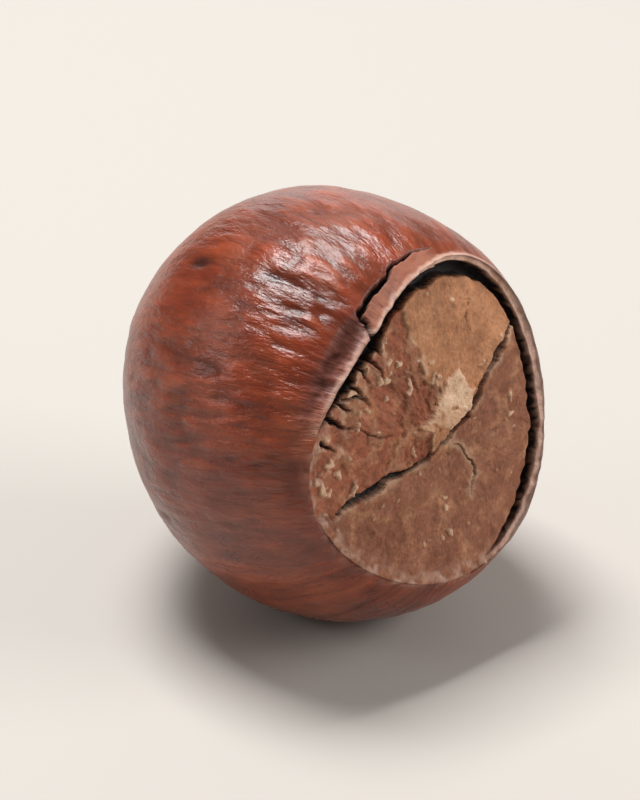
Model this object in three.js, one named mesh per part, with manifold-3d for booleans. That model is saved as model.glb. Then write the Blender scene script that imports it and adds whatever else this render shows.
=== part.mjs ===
// A hazelnut in its shell, lying on its side as a loose nut does. Millimetres, +Z up.
// The closed shell is one woody piece: a round body that ends in a blunt tip, and opposite the tip
// the scar where the nut sat in its husk. The scar faces -Y and looks a little upwards.

import * as THREE from "three";
import { ParametricGeometry } from "three/addons/geometries/ParametricGeometry.js";
import { mergeVertices } from "three/addons/utils/BufferGeometryUtils.js";
import Module from "manifold-3d";

// Body of the shell
const RADIUS = 9.2; // half the nut's mean width
const BASE_REACH = 9.3; // half-length of the ellipse on the scar side of the widest ring
const TIP_REACH = 9.0; // half-length of the ellipse on the tip side
const TIP_CONE = 0.8; // how far the blunt tip stands above that ellipse
const TIP_CONE_WIDTH = 3.6; // how broad the blunt tip is
const TIP_POINT = 0.3; // the small dry point that ends it
const TIP_POINT_WIDTH = 0.9;
const OVAL = 0.06; // the nut is slightly flattened: its section is an oval, by this share of the radius
const OVAL_TURN = THREE.MathUtils.degToRad(102.6); // the long way of that oval

// Scar at the base
const SCAR_RADIUS = 6.6; // mean radius of its outline
const SCAR_OVAL = 0.089; // the outline is an oval, by this share
const SCAR_OVAL_TURN = THREE.MathUtils.degToRad(36); // the long way of that oval
const SCAR_LOBE = 0.06; // and slightly three-cornered, by this share
const RIM_PLANE = -7.42; // place along the axis of a plane that the shell's edge comes near
const RIM_FLATNESS = 0.6; // how near it comes: 0 leaves the edge on the ellipse, 1 puts it in the plane
const SHOULDER = 0.4; // share of the way to the tip over which the shell bends up to that edge
const SCAR_DOME_TOP = 7.2; // distance of the scar's middle from the widest ring
const GAP_DEPTH = 0.6; // dried gap between the scar and the shell's edge
const GAP_MIDDLE = THREE.MathUtils.degToRad(43); // where around the scar the gap is widest open
const GAP_HALF_SPAN = THREE.MathUtils.degToRad(124); // how far it runs to either side
const GAP_FADE = THREE.MathUtils.degToRad(30); // stretch over which each end of the gap closes
const SCAR_STOPS = [0, 0.25, 0.5, 0.7, 0.82, 0.89, 0.905, 0.96, 0.975, 1]; // rings, as shares of the radius
const GAP_FLOOR = [0.905, 0.96]; // the rings that sink to the floor of the gap

// Crack across the scar: x to the right and z up, as seen by someone facing the scar
const CRACK_PATH = [
  [5.1, 2.8],
  [4.34, 2.36],
  [3.62, 1.9],
  [2.34, 0.68],
  [0.71, -0.31],
  [-1.0, -0.99],
  [-2.65, -1.16],
  [-4.37, -1.44],
  [-5.79, -1.83],
];
const CRACK_WIDTH = 0.4; // at its widest; both ends run out to a point
const CRACK_FLOOR = 6.35; // distance of its floor from the widest ring
const CRACK_CUTTER_HEIGHT = 2; // reaches from the floor out past the scar

// How the nut lies
const TILT = THREE.MathUtils.degToRad(14.2); // the scar end is raised by this much
const REST_SPOT_DEPTH = 0.4; // how far the rest spot is flattened into the round side

// Mesh density
const SLICES = 72;
const BODY_RINGS = 26;

const SCAR_RINGS = SCAR_STOPS.length - 1;
const RINGS = SCAR_RINGS + BODY_RINGS;

const wasm = await Module();
wasm.setup();

// Angles around the axis start at +X and turn towards +Z.
function ovalStretch(angle) {
  return 1 + OVAL * Math.cos(2 * (angle - OVAL_TURN));
}

function scarRadius(angle) {
  const oval = SCAR_OVAL * Math.cos(2 * (angle - SCAR_OVAL_TURN));
  return SCAR_RADIUS * (1 + oval - SCAR_LOBE * Math.cos(3 * angle));
}

// The sweep runs along the shell from 0 at the scar's middle, through a quarter turn at the widest
// ring, to a half turn at the tip. This is where the shell meets the scar.
function rimSweep(angle) {
  return Math.asin(scarRadius(angle) / RADIUS);
}

// How far the shell's edge stands out from the ellipse, along the axis.
function rimPush(angle) {
  const onEllipse = -BASE_REACH * Math.cos(rimSweep(angle));
  return RIM_FLATNESS * (RIM_PLANE - onEllipse);
}

function gapShare(angle) {
  const away = Math.abs(Math.atan2(Math.sin(angle - GAP_MIDDLE), Math.cos(angle - GAP_MIDDLE)));
  return 1 - THREE.MathUtils.smoothstep(away, GAP_HALF_SPAN - GAP_FADE, GAP_HALF_SPAN);
}

function setRingPoint(angle, radius, along, target) {
  const reach = radius * ovalStretch(angle);
  target.set(reach * Math.cos(angle), along, reach * Math.sin(angle));
}

function scarPoint(angle, stop, target) {
  const rimAlong = -BASE_REACH * Math.cos(rimSweep(angle)) + rimPush(angle);
  const domed = THREE.MathUtils.lerp(-SCAR_DOME_TOP, rimAlong, stop * stop);
  const sunk = GAP_FLOOR.includes(stop) ? GAP_DEPTH * gapShare(angle) : 0;
  setRingPoint(angle, stop * scarRadius(angle), domed + sunk, target);
}

function tipRise(radius) {
  const cone = TIP_CONE * Math.exp(-((radius / TIP_CONE_WIDTH) ** 2));
  const point = TIP_POINT * Math.exp(-((radius / TIP_POINT_WIDTH) ** 2));
  return cone + point;
}

function bodyPoint(angle, share, target) {
  const sweep = THREE.MathUtils.lerp(rimSweep(angle), Math.PI, share);
  const radius = share === 1 ? 0 : RADIUS * Math.sin(sweep);
  const onTipSide = sweep > Math.PI / 2;
  const reach = onTipSide ? TIP_REACH : BASE_REACH;
  const rise = onTipSide ? tipRise(radius) : 0;
  const push = rimPush(angle) * (1 - THREE.MathUtils.smoothstep(share, 0, SHOULDER));
  setRingPoint(angle, radius, rise + push - reach * Math.cos(sweep), target);
}

// One closed skin: rings from the scar's middle out to the rim, then over the shell to the tip. Each
// ring runs backwards round the axis, so that the skin faces outwards.
function nutPoint(around, along, target) {
  const angle = -(around % 1) * 2 * Math.PI;
  const ring = Math.round(along * RINGS);
  if (ring <= SCAR_RINGS) {
    scarPoint(angle, SCAR_STOPS[ring], target);
  } else {
    bodyPoint(angle, (ring - SCAR_RINGS) / BODY_RINGS, target);
  }
}

function solidFrom(geometry) {
  geometry.deleteAttribute("normal");
  geometry.deleteAttribute("uv");
  const welded = mergeVertices(geometry);
  return new wasm.Manifold(
    new wasm.Mesh({
      numProp: 3,
      vertProperties: new Float32Array(welded.attributes.position.array),
      triVerts: new Uint32Array(welded.index.array),
    }),
  );
}

function geometryFrom(solid) {
  const mesh = solid.getMesh();
  const geometry = new THREE.BufferGeometry();
  geometry.setAttribute("position", new THREE.BufferAttribute(new Float32Array(mesh.vertProperties), 3));
  geometry.setIndex(new THREE.BufferAttribute(new Uint32Array(mesh.triVerts), 1));
  geometry.computeVertexNormals();
  return geometry;
}

// The crack's outline runs down one side of its path and back along the other.
function crackCutter() {
  const last = CRACK_PATH.length - 1;
  const upper = [];
  const lower = [];
  CRACK_PATH.forEach(([x, z], index) => {
    const half = (CRACK_WIDTH / 2) * Math.sin((Math.PI * index) / last);
    upper.push(new THREE.Vector2(x, z + half));
    lower.push(new THREE.Vector2(x, z - half));
  });
  const outline = new THREE.Shape([...upper.slice(0, last), ...lower.slice(1).reverse()]);
  const cutter = new THREE.ExtrudeGeometry(outline, { depth: CRACK_CUTTER_HEIGHT, bevelEnabled: false });
  cutter.rotateX(Math.PI / 2);
  cutter.translate(0, -CRACK_FLOOR, 0);
  return cutter;
}

// Lay the nut on its side, centred, with its lowest part reaching below zero by the rest spot's depth.
function layDown(geometry) {
  geometry.rotateX(-TILT);
  geometry.computeBoundingBox();
  const { min, max } = geometry.boundingBox;
  geometry.translate(-(min.x + max.x) / 2, -(min.y + max.y) / 2, -min.z - REST_SPOT_DEPTH);
  return geometry;
}

// Everything under the plane that the nut rests on.
function floorCutter() {
  const side = 4 * RADIUS;
  return new THREE.BoxGeometry(side, side, side).translate(0, 0, -side / 2);
}

const skin = solidFrom(new ParametricGeometry(nutPoint, SLICES, RINGS));
const cracked = skin.subtract(solidFrom(crackCutter()));
const lying = solidFrom(layDown(geometryFrom(cracked)));
const resting = lying.subtract(solidFrom(floorCutter()));

const shellMaterial = new THREE.MeshStandardMaterial({ color: 0x803f2e, roughness: 0.45, metalness: 0 });
const hazelnut = new THREE.Mesh(geometryFrom(resting), shellMaterial);
hazelnut.name = "hazelnut";

const group = new THREE.Group();
group.name = "hazelnut_row";
group.add(hazelnut);

export default group;
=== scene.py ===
# %% [markdown]
# # A roasted hazelnut in its shell
# The nut lies on its side. One end of it is the scar, the pale patch where the nut sat in its husk,
# and the other end is the tip. This lesson builds one mesh for the whole shell, ring by ring, and then
# carves what growth, drying and roasting did to it: dents, ribs, wrinkles, pits, a shrunken scar and
# its cracks.

import math

import bpy
import numpy as np
from mathutils import Matrix, Vector, noise


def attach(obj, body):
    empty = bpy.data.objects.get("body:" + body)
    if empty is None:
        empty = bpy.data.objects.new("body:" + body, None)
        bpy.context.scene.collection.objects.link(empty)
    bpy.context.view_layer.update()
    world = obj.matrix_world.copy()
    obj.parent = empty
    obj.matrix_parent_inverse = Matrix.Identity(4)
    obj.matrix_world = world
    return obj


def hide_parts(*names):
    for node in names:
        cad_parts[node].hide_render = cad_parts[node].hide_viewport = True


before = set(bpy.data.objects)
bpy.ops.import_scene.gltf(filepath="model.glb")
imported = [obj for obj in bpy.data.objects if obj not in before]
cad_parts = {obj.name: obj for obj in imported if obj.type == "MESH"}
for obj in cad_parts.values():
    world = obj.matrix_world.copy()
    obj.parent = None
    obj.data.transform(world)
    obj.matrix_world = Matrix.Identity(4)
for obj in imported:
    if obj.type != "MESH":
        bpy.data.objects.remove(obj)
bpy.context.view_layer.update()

# %% [markdown]
# ## The measures of the nut
# A hazelnut is nearly a ball, so a few numbers describe it: how wide it is, how far its two ends
# reach, how oval it is, and how large the scar is. It could be sculpted from a sphere by eye instead, but
# numbers can be checked with a ruler and changed one at a time. All lengths here are millimetres. They
# turn into Blender's metres only when the mesh is made.

# %% Measures of the shell and the scar, in millimetres
HALF_WIDTH = 9.2
BASE_REACH = 9.3
TIP_REACH = 9.0
TIP_CONE = (0.8, 3.6)
TIP_POINT = (0.3, 0.9)
OVAL = 0.06
OVAL_TURN = math.radians(102.6)
SCAR_RADIUS = 6.6
SCAR_OVAL = 0.089
SCAR_OVAL_TURN = math.radians(36)
SCAR_LOBE = 0.06
SCAR_DOME_TOP = 7.2
RIM_PLANE = -7.42
RIM_FLATNESS = 0.6
SHOULDER = 0.4
TILT = math.radians(14.2)
REST_SPOT_DEPTH = 0.4
MM = 0.001


def soft_step(low, high, value):
    """0 below low, 1 above high, and a smooth slope between."""
    share = np.clip((value - low) / (high - low), 0, 1)
    return share * share * (3 - 2 * share)


def oval_stretch(angle):
    """How much wider the nut is than round, at an angle about its axis."""
    return 1 + OVAL * np.cos(2 * (angle - OVAL_TURN))


def scar_radius(angle):
    """Radius of the scar's outline, an oval that is slightly three-cornered."""
    oval = SCAR_OVAL * np.cos(2 * (angle - SCAR_OVAL_TURN))
    return SCAR_RADIUS * (1 + oval - SCAR_LOBE * np.cos(3 * angle))


outline = scar_radius(np.linspace(0, 2 * np.pi, 360))
print("radius of the scar from", outline.min().round(2), "to", outline.max().round(2), "mm")

# %% [markdown]
# ## Rings of points
# The mesh is a revolved grid: rings run from the scar's middle out to the rim and then over the shell
# to the tip. A subdivided sphere would spend its points evenly, but the eye goes to the scar and its
# rim, so the rings lie closest together there.

# %% Where the rings lie
AROUND = 448
SCAR_SHARES = np.concatenate([np.linspace(0.012, 0.84, 72), np.linspace(0.84, 1.0, 31)[1:]])
SHELL_PATH = 21.3
SHELL_ARCS = np.concatenate([np.linspace(0.06, 1.32, 22), np.linspace(1.32, SHELL_PATH, 90)[1:-1]])

turns = np.linspace(0, 2 * np.pi, AROUND, endpoint=False)
scar_angle, scar_share = (grid.ravel() for grid in np.meshgrid(turns, SCAR_SHARES))
shell_angle, shell_arc = (grid.ravel() for grid in np.meshgrid(turns, SHELL_ARCS))
print("rings on the scar:", len(SCAR_SHARES), "rings on the shell:", len(SHELL_ARCS))


# %% Where each point of a ring lies, before any damage
def ring_points(angles, radius, along):
    """Points round the nut's axis, which runs along Y. Angle 0 is +X and a quarter turn is +Z."""
    reach = radius * oval_stretch(angles)
    return np.stack([reach * np.cos(angles), along, reach * np.sin(angles)], axis=-1)


def rim_place(angles):
    """Where the shell's edge is: its sweep from the scar's middle, its push outwards, its place along."""
    sweep = np.arcsin(scar_radius(angles) / HALF_WIDTH)
    on_ellipse = -BASE_REACH * np.cos(sweep)
    push = RIM_FLATNESS * (RIM_PLANE - on_ellipse)
    return sweep, push, on_ellipse + push


def scar_points(angles, shares):
    """The scar: a shallow dome from its middle out to the rim."""
    rim_along = rim_place(angles)[2]
    along = -SCAR_DOME_TOP + (rim_along + SCAR_DOME_TOP) * shares**2
    return ring_points(angles, shares * scar_radius(angles), along)


def shell_points(angles, shares):
    """The shell: from the rim, over the widest ring, to the blunt tip and its small dry point."""
    start, push, _ = rim_place(angles)
    sweep = start + (np.pi - start) * shares
    radius = HALF_WIDTH * np.sin(sweep)
    cone = TIP_CONE[0] * np.exp(-((radius / TIP_CONE[1]) ** 2))
    point = TIP_POINT[0] * np.exp(-((radius / TIP_POINT[1]) ** 2))
    base_side = -BASE_REACH * np.cos(sweep) + push * (1 - soft_step(0, SHOULDER, shares))
    tip_side = -TIP_REACH * np.cos(sweep) + push * (1 - soft_step(0, SHOULDER, shares)) + cone + point
    return ring_points(angles, radius, np.where(sweep > np.pi / 2, tip_side, base_side))


plain_scar = scar_points(scar_angle, scar_share)
plain_shell = shell_points(shell_angle, shell_arc / SHELL_PATH)
print("points on the scar:", len(plain_scar), "points on the shell:", len(plain_shell))


# %% [markdown]
# ## Noise and paths
# Nothing on a nut is even: growth leaves lumps and drying leaves torn lines. Both could be sculpted with
# a brush, but a stroke can't be repeated or changed later. Here three helpers carve everything. The first
# asks Blender's own noise for a soft random value at each point, with lumps of a stated size. The second
# measures how far each point is from a drawn path, so that a crack is a path with a width. The third
# makes such a path jagged. All of them give the same answer each time.

# %% Helpers for lumps and cracks
def lumps(points, size, seed):
    """Smooth noise between about -1 and 1, with lumps that are size millimetres across."""
    shifted = points / size + seed * np.array([13.7, 7.3, 29.1])
    return np.array([noise.noise(Vector(place)) for place in shifted])


def from_path(points, path):
    """Distance of each point from a path, half the path's width there, and the nearest place on it."""
    stops = np.array(path)
    nearest = np.full(len(points), np.inf)
    width = np.zeros(len(points))
    foot = np.zeros((len(points), 2))
    for start, end in zip(stops[:-1], stops[1:]):
        run = end[:2] - start[:2]
        share = np.clip((points - start[:2]) @ run / (run @ run), 0, 1)
        place = start[:2] + share[:, None] * run
        distance = np.linalg.norm(points - place, axis=1)
        closer = distance < nearest
        nearest[closer] = distance[closer]
        width[closer] = (start[2] + share * (end[2] - start[2]))[closer]
        foot[closer] = place[closer]
    return nearest, width, foot


print("lumps at one place:", lumps(np.array([[1.0, 2.0, 3.0]]), 1.5, 1).round(3))

# %% A helper for torn lines: how often a line bends and frays, and how far, in millimetres
COARSE_BEND, COARSE_PUSH = 0.8, 0.2
FINE_BEND, FINE_PUSH = 0.28, 0.08


def in_space(points):
    """Flat points as points in space, where the noise is read."""
    return np.column_stack([points[:, 0], np.zeros(len(points)), points[:, 1]])


def jagged(points, seed):
    """Flat points pushed sideways a little, so that a straight path through them comes out torn."""
    place = in_space(points)
    coarse = [lumps(place, COARSE_BEND, seed), lumps(place, COARSE_BEND, seed + 1)]
    fine = [lumps(place, FINE_BEND, seed + 2), lumps(place, FINE_BEND, seed + 3)]
    return points + COARSE_PUSH * np.stack(coarse, axis=1) + FINE_PUSH * np.stack(fine, axis=1)


print("a torn line bends every", COARSE_BEND, "mm and frays every", FINE_BEND, "mm")

# %% [markdown]
# ## Cracks of the scar and the shell
# Drying and roasting tore the scar. One jagged crack crosses it, hairlines run beside it, and short tears
# run in from its left edge. Near the top a sliver of the shell's edge has split away too. A boolean could
# cut the cracks, but it leaves long thin triangles along each cut, so the cracks are carved into the grid
# of points. Each path on the scar is drawn as someone facing it would see it: x to the right, z up, and
# half the width of the crack. The path on the shell is drawn on the shell unrolled: degrees round the rim,
# the way from the rim, and half the width.

# %% Paths of the cracks, in millimetres
MAIN_CRACK = [
    (5.3, 3.0, 0.06), (4.34, 2.36, 0.14), (3.62, 1.9, 0.17), (2.86, 1.23, 0.15), (2.34, 0.68, 0.13),
    (1.61, 0.11, 0.15), (0.71, -0.31, 0.11), (-0.15, -0.65, 0.05), (-1.0, -0.99, 0.04),
    (-1.89, -1.14, 0.08), (-2.65, -1.16, 0.14), (-3.39, -1.23, 0.17), (-4.37, -1.44, 0.17),
    (-5.19, -1.59, 0.12), (-5.79, -1.83, 0.05),
]
HAIRLINES = [
    [(-4.9, 3.2, 0.04), (-4.0, 2.9, 0.1), (-3.2, 2.3, 0.02)],
    [(-4.4, 1.6, 0.02), (-3.6, 1.0, 0.05), (-2.4, 0.6, 0.02)],
    [(0.62, -0.71, 0.02), (1.25, -1.57, 0.05), (1.59, -2.55, 0.05), (1.17, -3.46, 0.02)],
    [(3.1, 5.2, 0.02), (2.5, 4.3, 0.04), (2.7, 3.4, 0.02)],
]
print("paths drawn on the scar:", 1 + len(HAIRLINES))

# %% Tears at the left edge: the turn round the rim in degrees, and the share of the radius where each ends
TEARS = [(116, 0.8), (124, 0.7), (131, 0.78), (139, 0.72), (148, 0.8), (157, 0.74), (166, 0.82)]
TEAR_START = 0.95
TEAR_SLANT = 4
TEAR_HALF_WIDTHS = (0.13, 0.04)


def tear_path(turn, share):
    """A short tear that runs from the rim towards the scar's middle, as far as a share of the radius."""
    angle = np.radians([turn, turn + TEAR_SLANT])
    reach = np.array([TEAR_START, share]) * scar_radius(angle) * oval_stretch(angle)
    return list(zip(reach * np.cos(angle), reach * np.sin(angle), TEAR_HALF_WIDTHS))


TEAR_PATHS = [tear_path(turn, share) for turn, share in TEARS]
SCAR_CRACKS = [MAIN_CRACK] + HAIRLINES + TEAR_PATHS
print("cracks on the scar:", len(SCAR_CRACKS))

# %% The split in the shell: degrees round the rim, the way from the rim, and half the width
RIM_RADIUS = SCAR_RADIUS
SPLIT_TURNS = [
    (119.5, -0.1, 0.07), (116.5, 0.3, 0.09), (115, 0.8, 0.11), (107, 0.9, 0.12), (100, 0.86, 0.12),
    (94, 0.95, 0.11), (88, 0.98, 0.09), (81, 0.85, 0.07), (75, 0.64, 0.02),
]
SHELL_SPLIT = [(math.radians(turn) * RIM_RADIUS, arc, half) for turn, arc, half in SPLIT_TURNS]
print("length of the split, about:", round(SHELL_SPLIT[0][0] - SHELL_SPLIT[-1][0], 1), "mm")

# %% [markdown]
# A grid point rarely lies exactly on the edge of a crack, so a carved crack would get a saw edge. A finer
# grid would only make the teeth smaller. The cure is to slide the nearest points sideways onto the edge
# before carving, by no more than half the grid's own spacing, so that no two points change places.

# %% Slide grid points onto the edges of the cracks
EDGE_WIDTH = 0.016
LONGEST_SLIDE = 0.05
NEAREST_TO_PATH = 0.01
THINNEST_HALF_WIDTH = 0.025


def slide_onto(points, path, seed):
    """Move the flat points that are nearest to a crack's edges onto them."""
    torn = jagged(points, seed)
    distance, half_width, foot = from_path(torn, path)
    outside = distance - half_width
    way = (torn - foot) / np.maximum(distance, 1e-6)[:, None]
    grid_steps = np.gradient(points.reshape(-1, AROUND, 2), axis=(0, 1))
    spacing = sum(np.abs((way * step.reshape(-1, 2)).sum(axis=1)) for step in grid_steps)
    reach = np.minimum(spacing / 2, LONGEST_SLIDE)
    near = (np.abs(outside) < reach) & (distance > NEAREST_TO_PATH) & (half_width > THINNEST_HALF_WIDTH)
    wanted = np.sign(outside) * np.minimum(EDGE_WIDTH, reach / 2)
    moved = points.copy()
    moved[near] += (way * (wanted - outside)[:, None])[near]
    print("points slid onto a crack's edges:", int(near.sum()))
    return moved


scar_plane = plain_scar[:, [0, 2]]
for crack in SCAR_CRACKS:
    scar_plane = slide_onto(scar_plane, crack, 5)
unrolled = np.column_stack([shell_angle * RIM_RADIUS, shell_arc])
unrolled = slide_onto(unrolled, SHELL_SPLIT, 9)
shell_angle, shell_arc = unrolled[:, 0] / RIM_RADIUS, unrolled[:, 1]
shell_place = shell_points(shell_angle, shell_arc / SHELL_PATH)

# %% [markdown]
# ## The plates of the scar
# The cracks part the scar into three plates: a smooth pale one at the upper right, a brown one below,
# and one at the upper left whose skin has flaked off. Each could be a mesh of its own, but on the nut they
# are one grown layer, so every point only gets a share in each plate. The flaked edge is a path too, but
# it is frayed with noise, and islands of skin are left beyond it.

# %% Which plate each point of the scar belongs to, and how deep in a crack it is
FLAKE_EDGE = [
    (-0.3, 6.9), (-0.43, 6.18), (-0.93, 4.9), (-0.51, 3.49), (0.08, 2.65), (0.43, 1.9), (-0.06, 1.02),
    (-0.57, 0.45), (-0.9, -0.9),
]
DEPTH_PER_HALF_WIDTH = 3.6
DEEPEST_CRACK = 0.6
torn = jagged(scar_plane, 5)
scar_space = in_space(torn)
crack_depth = np.zeros(len(scar_plane))
crack_nearness = np.full(len(scar_plane), np.inf)
for crack in SCAR_CRACKS:
    distance, half_width, _ = from_path(torn, crack)
    inside = soft_step(EDGE_WIDTH, -EDGE_WIDTH, distance - half_width)
    floor = np.clip(half_width * DEPTH_PER_HALF_WIDTH, 0, DEEPEST_CRACK)
    crack_depth = np.maximum(crack_depth, inside * floor)
    crack_nearness = np.minimum(crack_nearness, distance - half_width)

tear_nearness = np.min([from_path(torn, tear)[0] for tear in TEAR_PATHS], axis=0)
main_path = np.array(MAIN_CRACK)[::-1]
lower_plate = (torn[:, 1] < np.interp(torn[:, 0], main_path[:, 0], main_path[:, 1])).astype(float)
edge_path = np.array(FLAKE_EDGE)[::-1]
past_edge = torn[:, 0] - np.interp(torn[:, 1], edge_path[:, 1], edge_path[:, 0])
past_edge += 0.45 * lumps(scar_space, 1.0, 11) + 0.2 * lumps(scar_space, 0.4, 12)
islands = lumps(scar_space, 0.9, 13) + 0.5 * lumps(scar_space, 0.35, 14) + 0.08 * past_edge
skin_left = np.maximum(soft_step(-0.04, 0.04, past_edge), 0.55 * soft_step(0.02, 0.16, islands))
pale_plate = (1 - lower_plate) * skin_left
flaked_plate = (1 - lower_plate) * (1 - skin_left)
print("shares of the scar: pale", pale_plate.mean().round(2), "flaked", flaked_plate.mean().round(2))


# %% [markdown]
# ## The edge of the scar
# The scar shrank away from the shell and left a dark gap. It is widest at the top and at the upper left,
# where it tore open, and closes to a rough seam at the lower left. Outside the gap the shell's broken edge
# shows as a narrow pale face that rises to a low crest. A ring could be modelled for each of these, but
# one signed distance from the rim serves them all: below zero on the scar, above zero on the shell.

# %% Distance from the rim, and the noise that frays everything along it
def turned_from(angles, middle):
    """How far each angle is from a middle angle, in degrees, without a sign."""
    away = angles - math.radians(middle)
    return np.degrees(np.abs(np.arctan2(np.sin(away), np.cos(away))))


all_angle = np.concatenate([scar_angle, shell_angle])
inside_rim = (scar_share - 1) * scar_radius(scar_angle) * oval_stretch(scar_angle)
from_rim = np.concatenate([inside_rim, shell_arc])
on_scar = np.arange(len(all_angle)) < len(plain_scar)
unit_ring = np.column_stack([np.cos(all_angle), np.sin(all_angle), np.zeros(len(all_angle))])
rim_space = unit_ring * RIM_RADIUS
ragged = 0.12 * lumps(rim_space, 1.2, 21) + 0.07 * lumps(rim_space, 0.4, 22)
serrated = 0.9 + 0.4 * lumps(rim_space, 0.9, 23)
rim_space[:, 2] = from_rim
crumbly = lumps(rim_space, 0.5, 24) + 0.6 * lumps(rim_space, 0.22, 25)
print("points just inside the rim:", int((np.abs(inside_rim) < 1).sum()))

# %% The gap: turns round the rim in degrees, widths and depths in millimetres
GAP_MIDDLE = 43
GAP_HALF_SPAN = (96, 124)
NARROW_MIDDLE = 150
NARROW_HALF_SPAN = (25, 50)
GAP_WIDTH = 0.46
WIDER_AT_TOP = 0.16
WIDER_WHERE_TORN = 0.3
GAP_DEPTH = 0.85


def near_turn(middle, reach):
    """1 at one turn round the rim, and less to either side of it. Both numbers are degrees."""
    return np.exp(-((turned_from(all_angle, middle) / reach) ** 2))


gap_open = 1 - soft_step(*GAP_HALF_SPAN, turned_from(all_angle, GAP_MIDDLE))
narrow = 1 - soft_step(*NARROW_HALF_SPAN, turned_from(all_angle, NARROW_MIDDLE))
broad_edge = near_turn(28, 24)
torn_open = near_turn(128, 12) * (1 + 4 * ragged)
at_top = near_turn(72, 25)
gap_width = gap_open * (GAP_WIDTH + WIDER_AT_TOP * at_top + 0.04 * narrow + WIDER_WHERE_TORN * torn_open)
gap_outer = -0.2 + 0.16 * narrow - 0.12 * broad_edge - 0.4 * ragged
gap_inner = gap_outer - gap_width * (1 + 1.8 * ragged)
in_gap = soft_step(0.02, -0.04, from_rim - gap_outer) * soft_step(-0.06, 0.06, from_rim - gap_inner)
gap_depth = in_gap * gap_open * (GAP_DEPTH - 0.25 * narrow)
print("points in the gap:", int((gap_depth > 0.2).sum()))

# %% The shell's broken edge, its crest, the hollow beside it and the seam
CREST_PLACE, CREST_HALF_WIDTH = 0.06, 0.18
SEAM_PLACE, SEAM_HALF_WIDTH = -0.15, 0.36
HOLLOW_PLACE, HOLLOW_HALF_WIDTH = 0.75, 0.42


def band(place, half_width):
    """1 along a band beside the rim, and less to either side of it."""
    return np.exp(-(((from_rim - place) / half_width) ** 2))


crest = gap_open * serrated * band(CREST_PLACE, CREST_HALF_WIDTH - 0.05 * narrow)
rim_face = gap_open * soft_step(-0.02, 0.04, from_rim - gap_outer)
rim_face *= soft_step(0.3, 0.12, from_rim + 0.15 * crumbly)
seam = (1 - gap_open) * band(SEAM_PLACE + 2 * ragged, SEAM_HALF_WIDTH)
seam *= np.clip(0.45 + 1.5 * crumbly, 0, 1)
# The hollow beside the rim is carved, and the same mask darkens the shell's colour there with painted
# shade.
hollow_with_painted_shade = (near_turn(132, 19) + 0.4 * narrow) * band(HOLLOW_PLACE, HOLLOW_HALF_WIDTH)
hollow_with_painted_shade *= np.clip(0.85 + 0.4 * crumbly, 0, 1.1)
print("points on the broken edge:", int((rim_face > 0.5).sum()), "in the seam:", int((seam > 0.5).sum()))

# %% [markdown]
# ## Carving the scar
# Where the skin flaked off, the scar lies deeper and shows fibres that fan out from its middle. The skin
# that is left lifts a little beside the cracks. One broken chip, a few crumbs, and splinters beside the
# tears show pale inner tissue. Loose chips could be separate meshes, but these have dried on. So each
# feature is a height in millimetres, and the heights are added up point by point.

# %% Fibres that fan out from the middle of the scar
FAN_START = 2.4
FAN_STRETCH = 0.3
scar_reach = np.linalg.norm(scar_plane, axis=1)
fan_reach = np.minimum(scar_reach, FAN_START)
fan = unit_ring[on_scar] * fan_reach[:, None]
fan[:, 2] = FAN_STRETCH * (scar_reach - fan_reach)
fibre_ridges = lumps(fan, 0.22, 31) + 0.5 * lumps(fan, 0.11, 32)
print("fibre ridges from", fibre_ridges.min().round(2), "to", fibre_ridges.max().round(2))

# %% The chip: the corners of its two halves, x to the right and z up
CHIP_UPPER = [(0.85, 1.95), (1.6, 2.2), (2.24, 1.03), (1.8, 0.35), (0.36, 1.07)]
CHIP_LOWER = [(0.36, 1.07), (1.8, 0.35), (0.59, -0.28), (-0.43, 0.51)]
CHIP_EDGE = 0.05


def from_corners(points, corners):
    """Distance of each point outside a flat chip with these corners, below zero inside it."""
    stops = np.array(corners)
    outside = np.full(len(points), -np.inf)
    for start, end in zip(stops, np.roll(stops, -1, axis=0)):
        run = (end - start) / np.linalg.norm(end - start)
        outside = np.maximum(outside, (points - start) @ np.array([-run[1], run[0]]))
    return outside


broken = 0.16 * lumps(scar_space, 0.5, 38) + 0.08 * lumps(scar_space, 0.22, 39)
upper_chip = soft_step(CHIP_EDGE, -CHIP_EDGE, from_corners(torn, CHIP_UPPER) + broken)
lower_chip = soft_step(CHIP_EDGE, -CHIP_EDGE, from_corners(torn, CHIP_LOWER) + broken)
chip = np.maximum(upper_chip, lower_chip) * (1 - lower_plate)
chip_tone = np.clip(0.5 + 0.4 * upper_chip + 0.5 * lumps(scar_space, 0.4, 28), 0.2, 1)
print("points on the chip:", int(chip.sum()))

# %% Crumbs, fresh edges and splinters: the crumbs lie in patches at x, z with a reach
CRUMB_PATCHES = [
    (-5.75, -0.4, 1.0), (-2.4, 3.5, 1.2), (-1.2, 2.6, 0.8), (-3.6, 3.5, 1.2), (0.2, 2.3, 0.5),
    (-4.6, 2.0, 0.8), (4.26, -0.34, 0.4), (-1.4, -4.7, 0.5),
]
crumb_share = np.zeros(len(scar_plane))
for x, z, reach in CRUMB_PATCHES:
    distance = np.hypot(scar_plane[:, 0] - x, scar_plane[:, 1] - z)
    crumb_share = np.maximum(crumb_share, np.exp(-((distance / reach) ** 2)))
crumb_lumps = lumps(scar_space, 0.55, 37) + 0.6 * lumps(scar_space, 0.24, 30)
crumbs = soft_step(0.1, 0.24, crumb_lumps + 0.6 * (crumb_share - 1))
fresh_edge = (1 - lower_plate) * np.exp(-(((past_edge - 0.1) / 0.14) ** 2))
fresh_edge += 0.8 * lower_plate * np.exp(-((crack_nearness / 0.18) ** 2))
fresh_edge *= np.clip(0.6 + 1.5 * lumps(scar_space, 0.6, 29), 0, 1)
splinters = np.exp(-(((tear_nearness - 0.25) / 0.14) ** 2)) * soft_step(0.68, 0.8, scar_share)
splinters *= np.clip(0.5 + 1.6 * lumps(scar_space, 0.5, 27), 0, 1) * (1 - lower_plate)
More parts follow.
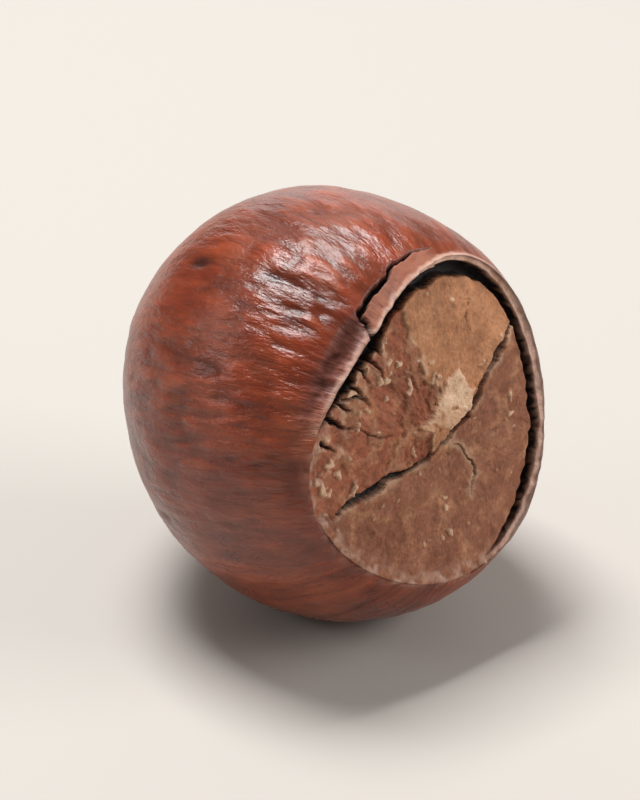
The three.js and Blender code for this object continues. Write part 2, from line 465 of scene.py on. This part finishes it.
laid_bare = np.maximum.reduce([chip * chip_tone, 0.75 * crumbs, 0.5 * fresh_edge, 0.6 * splinters])
print("points on crumbs:", int(crumbs.sum()), "on splinters:", int((splinters > 0.5).sum()))

# %% Heights on the scar, in millimetres
FLAKE_DEPTH = 0.17
FIBRE_HEIGHT = 0.1
CRUMB_HEIGHT = 0.12
SPLINTER_HEIGHT = 0.08
LIFT_AT_CRACK = 0.1
SHRINK_AT_EDGE = 0.2
edge_share = soft_step(0.68, 0.9, scar_share)
skin_lumps = 0.13 * lumps(scar_space, 2.4, 33) + 0.06 * lumps(scar_space, 0.9, 34)
grain = 0.022 * lumps(scar_space, 0.3, 35)
lifted = LIFT_AT_CRACK * np.exp(-np.clip(crack_nearness, 0, None) / 0.4)

scar_height = skin_lumps + grain + lifted + CRUMB_HEIGHT * crumbs + SPLINTER_HEIGHT * splinters
scar_height += flaked_plate * (FIBRE_HEIGHT * fibre_ridges - FLAKE_DEPTH)
scar_height += (lower_plate + pale_plate) * (0.012 + 0.05 * edge_share) * fibre_ridges
scar_height += chip * (0.1 + 0.06 * upper_chip + 0.1 * lumps(scar_space, 0.5, 36))
scar_height -= SHRINK_AT_EDGE * gap_open[on_scar] * soft_step(-2.2, -0.7, from_rim[on_scar])
scar_height -= crack_depth
print("heights on the scar from", scar_height.min().round(2), "to", scar_height.max().round(2), "mm")

# %% [markdown]
# ## Carving the shell
# The shell is not a true ball. It has broad dents, low ribs that run from the scar to the tip, where
# the husk's veins lay, and short wrinkles and furrows along them that are strongest near the scar. A
# bump in the finish could fake them, but they would vanish at the outline, so they are real heights. The
# ribs follow a direction and not a place, so their noise is read on a ring round the axis, stretched
# along the nut.

# %% Ribs and wrinkles on the shell
shell_ring = unit_ring[~on_scar]


def ribs(width, length, seed):
    """Noise drawn out along the nut: width across a rib, length along it, in millimetres."""
    stretched = shell_ring * HALF_WIDTH
    stretched[:, 2] = shell_arc * width / length
    return lumps(stretched, width, seed)


def around_place(turn, turn_reach, arc, arc_reach):
    """1 at a place on the shell and less away from it: degrees round the nut, millimetres from the rim."""
    across = turned_from(shell_angle, turn) / turn_reach
    return np.exp(-(across**2) - ((shell_arc - arc) / arc_reach) ** 2)


TIP_SPAN = (4.5, 0.5)
FURROW_DEPTH = 0.12
near_tip = soft_step(SHELL_PATH - TIP_SPAN[0], SHELL_PATH - TIP_SPAN[1], shell_arc)
shrivelled = around_place(112, 24, 3.2, 2.6) + 0.6 * around_place(156, 22, 4.8, 3.0)
wrinkled = 0.4 + 0.35 * lumps(plain_shell, 5.0, 48) + shrivelled
wrinkled = np.clip(wrinkled, 0.15, 1.7) * (1 - 0.7 * soft_step(8, 15, shell_arc))
furrows = soft_step(0.16, 0.0, np.abs(ribs(1.0, 2.6, 40)))
furrows *= soft_step(-0.1, 0.3, lumps(plain_shell, 1.5, 50))
rib_height = (0.04 * ribs(1.6, 10.0, 43) + 0.025 * ribs(0.8, 3.0, 44)) * (1 - 0.5 * near_tip)
wrinkles = wrinkled * (0.07 * ribs(0.5, 1.3, 45) + 0.035 * lumps(plain_shell, 0.7, 47))
wrinkles -= FURROW_DEPTH * (0.1 + shrivelled) * furrows
broad = 0.11 * lumps(plain_shell, 6.0, 41) + 0.04 * lumps(plain_shell, 2.4, 42)
tip_folds = 0.035 * near_tip * ribs(0.9, 6.0, 46)
tip_bleach = np.clip(1.5 * near_tip - 0.75 + 0.9 * near_tip * ribs(0.7, 6.0, 49), 0, 0.8)
shell_height = broad + rib_height + wrinkles + tip_folds
print("ribs and dents from", shell_height.min().round(2), "to", shell_height.max().round(2), "mm")

# %% [markdown]
# A few pits are left where the husk pressed or an insect bit. Scattering them at random would be quicker,
# but the ones that are seen have known places, so all of them are listed. Each is an oval hollow, longer
# along the nut than across it, with an edge that noise makes uneven.

# %% Pits: the turn round the nut in degrees, the way from the rim, the half-width and the depth
PITS = [
    (122, 8.4, 0.26, 0.17), (119, 4.6, 0.22, 0.15), (125, 3.0, 0.18, 0.12), (118, 2.55, 0.18, 0.12),
    (173, 3.6, 0.16, 0.08), (174, 2.4, 0.16, 0.08), (60, 7.5, 0.20, 0.07), (200, 9.0, 0.22, 0.09),
    (20, 12.5, 0.28, 0.10), (330, 6.0, 0.22, 0.09), (300, 13.5, 0.24, 0.09), (245, 12.0, 0.22, 0.08),
    (165, 14.5, 0.24, 0.09), (80, 16.0, 0.20, 0.07), (280, 8.0, 0.20, 0.08), (100, 12.0, 0.22, 0.09),
]
PIT_STRETCH = 2.2
uneven = 0.3 * lumps(plain_shell, 0.5, 51)
pit_depth = np.zeros(len(plain_shell))
for turn, arc, half_width, depth in PITS:
    across = np.radians(turned_from(shell_angle, turn)) * HALF_WIDTH / half_width
    along = (shell_arc - arc) / (half_width * PIT_STRETCH)
    pit_depth = np.maximum(pit_depth, depth * np.exp(-((np.hypot(across, along) + uneven) ** 2)))
shell_height -= pit_depth
print("pits:", len(PITS), "deepest:", pit_depth.max().round(2), "mm")

# %% [markdown]
# ## The split sliver
# At the top left of the rim a strip of the shell has come loose along a split. It could be cut out as
# a piece of its own, but it still hangs on at one end, so it stays in the skin: the split is carved like
# a crack, and the strip between split and rim is raised a little.

# %% The split in the shell, and the sliver that it leaves at the rim
SPLIT_DEPTH_PER_HALF_WIDTH = 3.2
SLIVER_SPAN = (74, 120)
split_torn = jagged(unrolled, 9)
distance, half_width, _ = from_path(split_torn, SHELL_SPLIT)
split_depth = soft_step(EDGE_WIDTH, -EDGE_WIDTH, distance - half_width)
split_depth *= half_width * SPLIT_DEPTH_PER_HALF_WIDTH
split_path = np.array(SHELL_SPLIT)[::-1]
under_split = split_torn[:, 1] < np.interp(split_torn[:, 0], split_path[:, 0], split_path[:, 1])
shell_turn = np.degrees(shell_angle)
sliver = under_split * soft_step(SLIVER_SPAN[0], SLIVER_SPAN[0] + 6, shell_turn)
sliver *= soft_step(SLIVER_SPAN[1], SLIVER_SPAN[1] - 3, shell_turn)
print("points on the sliver:", int((sliver > 0.5).sum()))

# %% [markdown]
# ## Adding up the heights
# What lies on both sides of the rim comes last: the crest, the hollow beside it, the gap and the seam.
# Carving the scar and the shell apart and sewing them together would leave a step, so from here on they
# are one list of points.

# %% Heights of the whole surface
SLIVER_LIFT = 0.07
CREST_HEIGHT = 0.09
HOLLOW_DEPTH = 0.2
SEAM_DEPTH = 0.06
rim_calm = soft_step(-0.1, 0.4, shell_arc)
shell_height = shell_height * rim_calm + sliver * (SLIVER_LIFT + 0.05 * crumbly[~on_scar]) - split_depth
height = np.concatenate([scar_height, shell_height])
height += (CREST_HEIGHT + 0.04 * narrow) * crest * (1 + 0.5 * crumbly)
height += seam * (0.12 * crumbly - SEAM_DEPTH) - HOLLOW_DEPTH * hollow_with_painted_shade - gap_depth
print("whole surface from", height.min().round(2), "to", height.max().round(2), "mm")

# %% [markdown]
# ## Lifting the points
# The scar and its gap are carved straight along the nut's axis and the shell straight out from the nut's
# middle. One direction for both would be simpler, but would smear one of them sideways. Just outside the
# rim the two directions blend, so that no wall of the gap folds over.

# %% Move every point by its height
scar_place = plain_scar.copy()
scar_place[:, [0, 2]] = scar_plane
place = np.vstack([scar_place, shell_place])
outwards = place / np.linalg.norm(place, axis=1)[:, None]
share_out = soft_step(-0.05, 0.6, from_rim)[:, None]
direction = (1 - share_out) * np.array([0.0, -1.0, 0.0]) + share_out * outwards
direction /= np.linalg.norm(direction, axis=1)[:, None]
carved = place + direction * height[:, None]
poles = np.array([[0.0, -SCAR_DOME_TOP, 0.0], [0.0, TIP_REACH + TIP_CONE[0] + TIP_POINT[0], 0.0]])
print("nut before it is laid down:", carved.min(axis=0).round(2), "to", carved.max(axis=0).round(2))

# %% [markdown]
# ## Laying the nut down
# The nut rests on its side with the scar end a little raised. A real one is kept from rolling by its
# bumps; here a small spot is pressed flat, the same spot that the solid has.

# %% Tilt the nut, drop it onto the ground and flatten the spot it rests on
tilt_matrix = np.array(Matrix.Rotation(-TILT, 3, "X"))
plain = np.vstack([plain_scar, plain_shell, poles]) @ tilt_matrix.T
low, high = plain.min(axis=0), plain.max(axis=0)
lying = np.vstack([carved, poles]) @ tilt_matrix.T
lying += np.array([-(low[0] + high[0]) / 2, -(low[1] + high[1]) / 2, -low[2] - REST_SPOT_DEPTH])
lying[:, 2] = np.maximum(lying[:, 2], 0.0)
print("flat points under the nut:", int((lying[:, 2] == 0).sum()))

# %% [markdown]
# ## One closed skin
# The shell of this nut is whole, so its mesh is closed. Neighbouring rings are joined by four-sided faces,
# and each end is closed by a fan of triangles round one point. A hull or a remesh would find its own
# faces, but these follow the rings, so the fibres run straight along them.

# %% Join the rings into one closed mesh
ring_count = len(SCAR_SHARES) + len(SHELL_ARCS)
index = np.arange(ring_count * AROUND).reshape(ring_count, AROUND)
following = np.roll(index, -1, axis=1)
quads = np.stack([index[:-1], index[1:], following[1:], following[:-1]], axis=-1).reshape(-1, 4)
scar_middle, tip_end = ring_count * AROUND, ring_count * AROUND + 1
fan_in = np.stack([np.full(AROUND, scar_middle), index[0], following[0]], axis=-1)
fan_out = np.stack([np.full(AROUND, tip_end), following[-1], index[-1]], axis=-1)
faces = quads.tolist() + fan_in.tolist() + fan_out.tolist()

nut_mesh = bpy.data.meshes.new("hazelnut_shell")
nut_mesh.from_pydata((lying * MM).tolist(), [], faces)
nut_mesh.shade_smooth()
nut = bpy.data.objects.new("hazelnut_shell", nut_mesh)
bpy.context.scene.collection.objects.link(nut)
print("faces:", len(nut_mesh.polygons), "triangles:", 2 * len(quads) + 2 * AROUND)

# %% [markdown]
# ## A flat map of the surface
# To paint a surface into a picture, a program needs a flat map of it. The shell unrolls into a strip,
# like the label of a jar, and the scar lies flat in a square beside it. The map has one seam, where an
# automatic one would cut the nut into many pieces.

# %% Lay out the flat map
STRIP_LOW, STRIP_HIGH = 0.46, 0.996
STRIP_MARGIN = 0.004
TIP_ROW = 0.005
SQUARE_MIDDLE, SQUARE_PER_MM = 0.227, 0.0275
scar_rings = len(SCAR_SHARES)
ring_arcs = np.concatenate([np.zeros(scar_rings), SHELL_ARCS])


def across_strip(column):
    """Place across the strip, from 0 to 1 with a margin, of a column of the grid."""
    return STRIP_MARGIN + (1 - 2 * STRIP_MARGIN) * column / AROUND


rows = np.repeat(np.arange(ring_count - 1), AROUND)
columns = np.tile(np.arange(AROUND), ring_count - 1)
corner_rows = np.stack([rows, rows + 1, rows + 1, rows], axis=-1)
corner_columns = np.stack([columns, columns, columns + 1, columns + 1], axis=-1)
strip_v = STRIP_LOW + (STRIP_HIGH - STRIP_LOW) * ring_arcs[corner_rows] / SHELL_PATH
quad_map = np.stack([across_strip(corner_columns), strip_v], axis=-1)
flat_place = np.vstack([SQUARE_MIDDLE + SQUARE_PER_MM * scar_plane, np.zeros((len(shell_place), 2))])
on_square = rows < scar_rings - 1
quad_map[on_square] = flat_place[quads[on_square]]
print("faces on the strip:", int((~on_square).sum()), "faces on the square:", int(on_square.sum()))

# %% Map the two ends and store the map
middle_map = np.full((AROUND, 1, 2), SQUARE_MIDDLE)
fan_in_map = np.concatenate([middle_map, flat_place[fan_in[:, 1:]]], axis=1)
tip_u = across_strip(np.arange(AROUND)[:, None] + np.array([0.5, 1.0, 0.0]))
tip_v = np.tile([STRIP_HIGH, STRIP_HIGH - TIP_ROW, STRIP_HIGH - TIP_ROW], (AROUND, 1))
fan_out_map = np.stack([tip_u, tip_v], axis=-1)
flat_map = np.concatenate([part.reshape(-1, 2) for part in (quad_map, fan_in_map, fan_out_map)])
nut_mesh.uv_layers.new(name="OFBake").data.foreach_set("uv", flat_map.ravel())
print("flat map from", flat_map.min().round(3), "to", flat_map.max().round(3))

# %% [markdown]
# ## What the finishes need to know
# A crack is dark because it is deep, so its colour gets a painted shade that grows with its depth, and a
# chip is pale because it broke afresh, so colour has to follow shape. A painted picture could do that, but
# would blur when seen closely. A finish can also read numbers
# stored on the points of a mesh. These say how deep a point lies in a crack, which plate it is on, where
# pale tissue is laid bare, and where it is along the shell's fibres.

# %% Store the numbers that the finishes read
# Depths in millimetres at which the painted shade in a crack, the gap and a pit is darkest.
DARK_CRACK_DEPTH = 0.3
DARK_GAP_DEPTH = 0.2
DARK_PIT_DEPTH = 0.11
SHADE_PER_MM = 7
zero_scar = np.zeros(len(scar_place))
zero_shell = np.zeros(len(shell_place))
fibres = unit_ring * HALF_WIDTH
fibres[:, 2] = from_rim
fibres[on_scar] = fan
stored = {
    "painted_crevice_shade": np.concatenate([crack_depth, split_depth]) / DARK_CRACK_DEPTH + gap_depth / DARK_GAP_DEPTH,
    "bare": np.concatenate([laid_bare, zero_shell]),
    "crest": rim_face * np.clip(0.75 + 0.55 * crumbly, 0, 1),
    "seam": seam,
    "skin": np.concatenate([pale_plate + 0.45 * lower_plate, zero_shell]),
    "ridge_polish_and_groove_shade": np.concatenate([zero_scar, 0.5 + SHADE_PER_MM * (rib_height + wrinkles)]),
    "hollow_with_painted_shade": hollow_with_painted_shade,
    # Pits darken with their depth as painted shade.
    "pit_painted_shade": np.concatenate([zero_scar, pit_depth / DARK_PIT_DEPTH]),
    "sliver": np.concatenate([zero_scar, sliver * np.clip(0.5 + 0.5 * crumbly[~on_scar], 0, 1)]),
    "tip": np.concatenate([zero_scar, tip_bleach]),
}
for name, values in stored.items():
    layer = nut_mesh.attributes.new(name, "FLOAT", "POINT")
    with_poles = np.append(np.clip(values, 0, 1), [0.0, values[-1]])
    layer.data.foreach_set("value", with_poles.astype(np.float32))
layer = nut_mesh.attributes.new("fibres", "FLOAT_VECTOR", "POINT")
with_poles = np.vstack([fibres, np.zeros((1, 3)), fibres[-1:]])
layer.data.foreach_set("vector", with_poles.astype(np.float32).ravel())
print("stored:", list(stored) + ["fibres"])


# %% [markdown]
# ## Making finishes
# A finish is a small network of nodes. It could be wired by hand in the editor, but written down it can be
# read from top to bottom. Colours are the hex values that a painter would pick, and one function turns
# them into the linear light that Blender mixes. A second function adds a node and joins it up in one call.
# A third starts a finish with the two spaces that its patterns are read in.

# %% Helpers for the finishes
FACTOR, FIRST, SECOND = 0, 6, 7  # the sockets of a Mix node that mixes colours
FIRST_NUMBER, SECOND_NUMBER = 2, 3  # and of one that mixes plain numbers


def colour(hex_value):
    """An sRGB hex colour as linear red, green, blue and full opacity."""
    parts = [int(hex_value[i:i + 2], 16) / 255 for i in (1, 3, 5)]
    linear = [p / 12.92 if p <= 0.04045 else ((p + 0.055) / 1.055) ** 2.4 for p in parts]
    return (*linear, 1.0)


def add(tree, kind, inputs=None, stops=(), **settings):
    """Add one node. An input is a plain value, another node's output, or a node for its first output."""
    made = tree.nodes.new(kind)
    for name, value in settings.items():
        setattr(made, name, value)
    for name, value in (inputs or {}).items():
        if isinstance(value, bpy.types.Node):
            value = next(out for out in value.outputs if out.enabled)
        if isinstance(value, bpy.types.NodeSocket):
            tree.links.new(value, made.inputs[name])
        else:
            made.inputs[name].default_value = value
    for number, (position, shade) in enumerate(stops):
        ramp = made.color_ramp.elements
        stop = ramp[number] if number < len(ramp) else ramp.new(position)
        stop.position = position
        stop.color = shade
    return made


print("one hex step of grey, in linear light:", round(colour("#010101")[0], 5))


# %% Start a finish, and the colours that both finishes share
def start_finish(name):
    """A new finish: its material, its nodes, the space along the fibres, and plain space in millimetres."""
    made = bpy.data.materials.new(name)
    made.use_nodes = True
    tree = made.node_tree
    tree.nodes.clear()
    along_fibres = add(tree, "ShaderNodeAttribute", attribute_name="fibres").outputs["Vector"]
    from_origin = add(tree, "ShaderNodeTexCoord").outputs["Object"]
    in_mm = add(tree, "ShaderNodeVectorMath", {0: from_origin, "Scale": 1 / MM}, operation="SCALE")
    return made, tree, along_fibres, in_mm


# The painted shade inside the cracks, the gap and the split, darkest where they are deepest.
PAINTED_CREVICE_SHADE = "#140805"
BROKEN_EDGE = "#d4ae9c"
SEAM_CRUMBS = "#b08774"
print("darkest brown, in linear light:", [round(part, 4) for part in colour(PAINTED_CREVICE_SHADE)])


# %% [markdown]
# ## Roasted hazelnut shell, polished by handling
# The shell is lignin-rich wood with a thin natural wax. Roasting darkened it and handling polished it.
# To the eye that gives a red-brown with fine streaks from scar to tip, warmer patches, and a satin gloss
# that the wrinkles break into short strokes. A ready wood texture has year rings, which a shell hasn't, so
# the streaks are noise drawn out along the stored fibres. Wood and wax have an IOR of about 1.5, and waxed
# wood a roughness of about 0.3 to 0.5; here it is a little lower, because handling polished it.

# %% Patterns of the shell
LONG_DRAWN = (1, 1, 0.2)
SHORT_DRAWN = (1, 1, 0.4)
shell, tree, along_fibres, in_mm = start_finish("roasted_hazelnut_shell_polished_by_handling")
long_drawn = add(tree, "ShaderNodeVectorMath", {0: along_fibres, 1: LONG_DRAWN}, operation="MULTIPLY")
short_drawn = add(tree, "ShaderNodeVectorMath", {0: along_fibres, 1: SHORT_DRAWN}, operation="MULTIPLY")

# Fibre bundles are about 0.1 mm wide. That is too fine to show, so the streaks are drawn 0.7 mm wide, the
# dark lines between them 0.9 mm apart, and the strokes of the surface 0.3 mm wide. The patches that
# roasting left are drawn at their real 3.5 mm.
STREAK_MM = 0.7
LINE_MM = 0.9
STROKE_MM = 0.3
PATCH_MM = 3.5
streaks = add(tree, "ShaderNodeTexNoise", {
    "Vector": long_drawn, "Scale": 1 / STREAK_MM, "Detail": 8, "Roughness": 0.7})
patches = add(tree, "ShaderNodeTexNoise", {
    "Vector": in_mm, "Scale": 1 / PATCH_MM, "Detail": 5, "Roughness": 0.6})
strokes = add(tree, "ShaderNodeTexNoise", {
    "Vector": short_drawn, "Scale": 1 / STROKE_MM, "Detail": 4, "Roughness": 0.6})
lines = add(tree, "ShaderNodeTexNoise", {
    "Vector": long_drawn, "Scale": 1 / LINE_MM, "Detail": 1, "Roughness": 0.5, "Offset": 1, "Gain": 1},
    noise_type="RIDGED_MULTIFRACTAL")
ridge_polish_and_groove_shade = add(tree, "ShaderNodeAttribute", attribute_name="ridge_polish_and_groove_shade").outputs["Fac"]
print("patterns of the shell:", len(tree.nodes), "nodes")

# %% Colour of the shell, from its ground colour to what lies on top
shell_colour = add(tree, "ShaderNodeValToRGB", {"Fac": streaks}, stops=[
    (0.30, colour("#6b2815")), (0.72, colour("#8e4226")), (0.50, colour("#7d331a"))])
patch_share = add(tree, "ShaderNodeMapRange", {
    "Value": patches, "From Min": 0.45, "From Max": 0.75, "To Min": 0.0, "To Max": 0.6})
shell_colour = add(tree, "ShaderNodeMix", {
    FACTOR: patch_share, FIRST: shell_colour, SECOND: colour("#985234")}, data_type="RGBA")
# The stored heights of ribs and wrinkles shade the colour: lighter on ridges, which handling polished, and
# darker in grooves and furrows as painted shade.
for pattern, low_end, high_end, low_shade, high_shade in (
    (ridge_polish_and_groove_shade, 0.25, 0.75, 0.7, 1.25), (strokes, 0.25, 0.75, 0.82, 1.18), (lines, 0.9, 1.3, 1.04, 0.8),
):
    shade = add(tree, "ShaderNodeMapRange", {
        "Value": pattern, "From Min": low_end, "From Max": high_end,
        "To Min": low_shade, "To Max": high_shade})
    shell_colour = add(tree, "ShaderNodeMix", {
        FACTOR: 1.0, FIRST: shell_colour, SECOND: shade}, data_type="RGBA", blend_type="MULTIPLY")
# The tip, the sliver, the seam and the broken edge get colours of their own; pits, the hollow beside the
# rim and the cracks get painted shade.
for layer_name, tint in (
    ("pit_painted_shade", "#401609"), ("tip", "#8f6a4e"), ("hollow_with_painted_shade", "#4a1c0d"), ("sliver", "#97614a"),
    ("seam", SEAM_CRUMBS), ("crest", BROKEN_EDGE), ("painted_crevice_shade", PAINTED_CREVICE_SHADE),
):
    share = add(tree, "ShaderNodeAttribute", attribute_name=layer_name).outputs["Fac"]
    shell_colour = add(tree, "ShaderNodeMix", {
        FACTOR: share, FIRST: shell_colour, SECOND: colour(tint)}, data_type="RGBA")
print("nodes that colour the shell:", len(tree.nodes))

# %% Gloss of the shell: satin where the skin is whole, dull where it is broken
SATIN = (0.21, 0.36)
ROUGH_WOOD = 0.95
STROKE_RELIEF = 0.09 * MM
gloss = add(tree, "ShaderNodeMapRange", {
    "Value": patches, "From Min": 0.3, "From Max": 0.7, "To Min": SATIN[0], "To Max": SATIN[1]})
for layer_name in ("hollow_with_painted_shade", "sliver", "seam", "crest", "painted_crevice_shade"):
    share = add(tree, "ShaderNodeAttribute", attribute_name=layer_name).outputs["Fac"]
    gloss = add(tree, "ShaderNodeMix", {
        FACTOR: share, FIRST_NUMBER: gloss, SECOND_NUMBER: ROUGH_WOOD}, data_type="FLOAT")
stroke_bump = add(tree, "ShaderNodeBump", {"Strength": 1.0, "Distance": STROKE_RELIEF, "Height": strokes})
surface = add(tree, "ShaderNodeBsdfPrincipled", {
    "Base Color": shell_colour, "Roughness": gloss, "IOR": 1.5, "Normal": stroke_bump})
add(tree, "ShaderNodeOutputMaterial", {"Surface": surface})
print("nodes in the shell's finish:", len(tree.nodes))

# %% [markdown]
# ## Corky scar tissue, dried and torn
# The scar is a layer of dry cork cells that parted from the husk. It is matt and granular, tan where
# its skin is whole, red-brown where the skin flaked off, and cream where it broke afresh. It could share
# the shell's finish with other colours, but its grain and its dullness differ too, so it has its own. Cork
# has an IOR of about 1.45 and a roughness of about 0.8; the pressed skin is a little smoother.

# %% Patterns of the scar
scar, tree, along_fibres, in_mm = start_finish("corky_scar_tissue_dried_and_torn")
# Cork cells are 0.03 to 0.05 mm wide and the threads between them about as thin. Both are too fine to
# show, so they are drawn about 0.2 mm wide. Stains and blotches are drawn at their real sizes.
THREAD_MM = 0.2
CELL_MM = 0.18
STAIN_MM = 1.5
BLOTCH_MM = 0.9
threads = add(tree, "ShaderNodeTexNoise", {
    "Vector": along_fibres, "Scale": 1 / THREAD_MM, "Detail": 4, "Roughness": 0.65})
stains = add(tree, "ShaderNodeTexNoise", {
    "Vector": in_mm, "Scale": 1 / STAIN_MM, "Detail": 5, "Roughness": 0.65})
blotches = add(tree, "ShaderNodeTexNoise", {
    "Vector": in_mm, "Scale": 1 / BLOTCH_MM, "Detail": 5, "Roughness": 0.65})
cells = add(tree, "ShaderNodeTexNoise", {
    "Vector": in_mm, "Scale": 1 / CELL_MM, "Detail": 3, "Roughness": 0.6})
skin = add(tree, "ShaderNodeAttribute", attribute_name="skin").outputs["Fac"]
print("patterns of the scar:", len(tree.nodes), "nodes")

# %% Colour of the scar
# The lower plate has a brown of its own, made a little darker as painted shade.
scar_colour = add(tree, "ShaderNodeValToRGB", {"Fac": skin}, stops=[
    (0.0, colour("#9a5638")), (1.0, colour("#b27850")), (0.45, colour("#8a5337"))])
for pattern, clear, full, tint in ((stains, 0.46, 0.68, "#693722"), (blotches, 0.5, 0.7, "#c08a63")):
    share = add(tree, "ShaderNodeMapRange", {
        "Value": pattern, "From Min": clear, "From Max": full, "To Min": 0.0, "To Max": 0.65})
    scar_colour = add(tree, "ShaderNodeMix", {
        FACTOR: share, FIRST: scar_colour, SECOND: colour(tint)}, data_type="RGBA")
for pattern, darkest, lightest in ((threads, 0.82, 1.15), (cells, 0.78, 1.2)):
    shade = add(tree, "ShaderNodeMapRange", {
        "Value": pattern, "From Min": 0.28, "From Max": 0.72, "To Min": darkest, "To Max": lightest})
    scar_colour = add(tree, "ShaderNodeMix", {
        FACTOR: 1.0, FIRST: scar_colour, SECOND: shade}, data_type="RGBA", blend_type="MULTIPLY")
fresh = add(tree, "ShaderNodeMix", {
    FACTOR: cells, FIRST: colour("#bd8a66"), SECOND: colour("#f4d6b6")}, data_type="RGBA")
# Fresh tissue, the seam and the broken edge get colours of their own; the cracks and the gap get painted
# shade.
for layer_name, tint in (
    ("bare", fresh), ("seam", colour(SEAM_CRUMBS)),
    ("crest", colour(BROKEN_EDGE)), ("painted_crevice_shade", colour(PAINTED_CREVICE_SHADE)),
):
    share = add(tree, "ShaderNodeAttribute", attribute_name=layer_name).outputs["Fac"]
    scar_colour = add(tree, "ShaderNodeMix", {
        FACTOR: share, FIRST: scar_colour, SECOND: tint}, data_type="RGBA")
print("nodes that colour the scar:", len(tree.nodes))

# %% Dullness and grain of the scar
MATT = (0.55, 0.78)
GRAIN_RELIEF = 0.08 * MM
dull = add(tree, "ShaderNodeMapRange", {
    "Value": stains, "From Min": 0.3, "From Max": 0.7, "To Min": MATT[0], "To Max": MATT[1]})
cell_bump = add(tree, "ShaderNodeBump", {"Strength": 1.0, "Distance": GRAIN_RELIEF, "Height": cells})
thread_bump = add(tree, "ShaderNodeBump", {
    "Strength": 1.0, "Distance": GRAIN_RELIEF, "Height": threads, "Normal": cell_bump})
surface = add(tree, "ShaderNodeBsdfPrincipled", {
    "Base Color": scar_colour, "Roughness": dull, "IOR": 1.45, "Normal": thread_bump})
add(tree, "ShaderNodeOutputMaterial", {"Surface": surface})
print("nodes in the scar's finish:", len(tree.nodes))

# %% [markdown]
# ## Putting the finishes on
# Two finishes meet at the rim. One finish that mixes both would need twice the nodes everywhere, so each
# face is told which of the two it wears. The finished skin then stands for the solid nut and moves with it.

# %% Give the shell and the scar their finishes
nut_mesh.materials.append(shell)
nut_mesh.materials.append(scar)
wears = np.zeros(len(nut_mesh.polygons), dtype=np.int32)
wears[:(scar_rings - 1) * AROUND] = 1
wears[len(quads):len(quads) + AROUND] = 1
nut_mesh.polygons.foreach_set("material_index", wears)
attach(nut, "root")
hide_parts("hazelnut")
print("faces that wear the scar's finish:", int(wears.sum()))

# %% [markdown]
# ## Ground, light and camera
# A plain pale ground and a large soft light above and a little behind, as in a small product studio. A
# second, weaker one behind draws the upper edge of the nut, a third in front opens the shade on the scar,
# and a fourth gives the left side a faint gloss. A sky picture could light it all at once, but soft lights
# can be set one by one. The camera has a long lens, so the nut isn't drawn out of shape, and looks down by
# 30 degrees with the scar turned to the right.

# %% The ground
GROUND_HALF = 2
GROUND_DROP = 0.01 * MM
WAYS = ((-1, -1), (1, -1), (1, 1), (-1, 1))
corners = [(x * GROUND_HALF, y * GROUND_HALF, -GROUND_DROP) for x, y in WAYS]
ground_mesh = bpy.data.meshes.new("ground")
ground_mesh.from_pydata(corners, [], [(0, 1, 2, 3)])
ground = bpy.data.objects.new("ground", ground_mesh)
bpy.context.scene.collection.objects.link(ground)
paper = bpy.data.materials.new("pale_matt_paper")
paper.use_nodes = True
paper_surface = paper.node_tree.nodes["Principled BSDF"]
paper_surface.inputs["Base Color"].default_value = colour("#bdb8b1")
paper_surface.inputs["Roughness"].default_value = 0.8
ground_mesh.materials.append(paper)
print("ground:", ground.name)

# %% The light
world = bpy.data.worlds.new("studio")
world.use_nodes = True
background = world.node_tree.nodes["Background"]
background.inputs["Color"].default_value = colour("#f6f4f1")
background.inputs["Strength"].default_value = 0.2
bpy.context.scene.world = world
bpy.context.scene.view_settings.view_transform = "Standard"
nut_centre = Vector((0, 0, HALF_WIDTH * MM))


def soft_light(name, place, size, watts):
    """A square soft light that looks at the nut."""
    lamp = bpy.data.lights.new(name, "AREA")
    lamp.shape = "SQUARE"
    lamp.size = size
    lamp.energy = watts
    made = bpy.data.objects.new(name, lamp)
    made.location = place
    made.rotation_euler = (nut_centre - Vector(place)).to_track_quat("-Z", "Y").to_euler()
    bpy.context.scene.collection.objects.link(made)


# Each light: its place and its size in metres, and its power in watts.
soft_light("softbox_above", (0.0, 0.085, 0.295), 0.13, 1.2)
soft_light("softbox_behind", (0.20, 0.23, 0.07), 0.20, 0.16)
soft_light("softbox_in_front", (0.20, -0.24, 0.16), 0.20, 0.75)
soft_light("softbox_at_the_left", (-0.223, 0.154, 0.138), 0.08, 0.1)

# %% The camera
AZIMUTH = math.radians(-41.2)
ELEVATION = math.radians(30)
LENS = 200
FRAME_SIZE = (640, 800)
NUT_SHARE = 0.66

towards = Vector((
    math.sin(AZIMUTH) * math.cos(ELEVATION),
    -math.cos(AZIMUTH) * math.cos(ELEVATION),
    math.sin(ELEVATION),
))
lens = bpy.data.cameras.new("camera")
lens.lens = LENS
lens.clip_start = 0.01
frame_height = 2 * HALF_WIDTH * MM / NUT_SHARE * FRAME_SIZE[1] / FRAME_SIZE[0]
away = frame_height / 2 / (lens.sensor_width / 2 / LENS)
camera = bpy.data.objects.new("camera", lens)
camera.location = nut_centre + towards * away
camera.rotation_euler = (-towards).to_track_quat("-Z", "Y").to_euler()
bpy.context.scene.collection.objects.link(camera)
bpy.context.scene.camera = camera
print("camera distance, in metres:", round(away, 3))
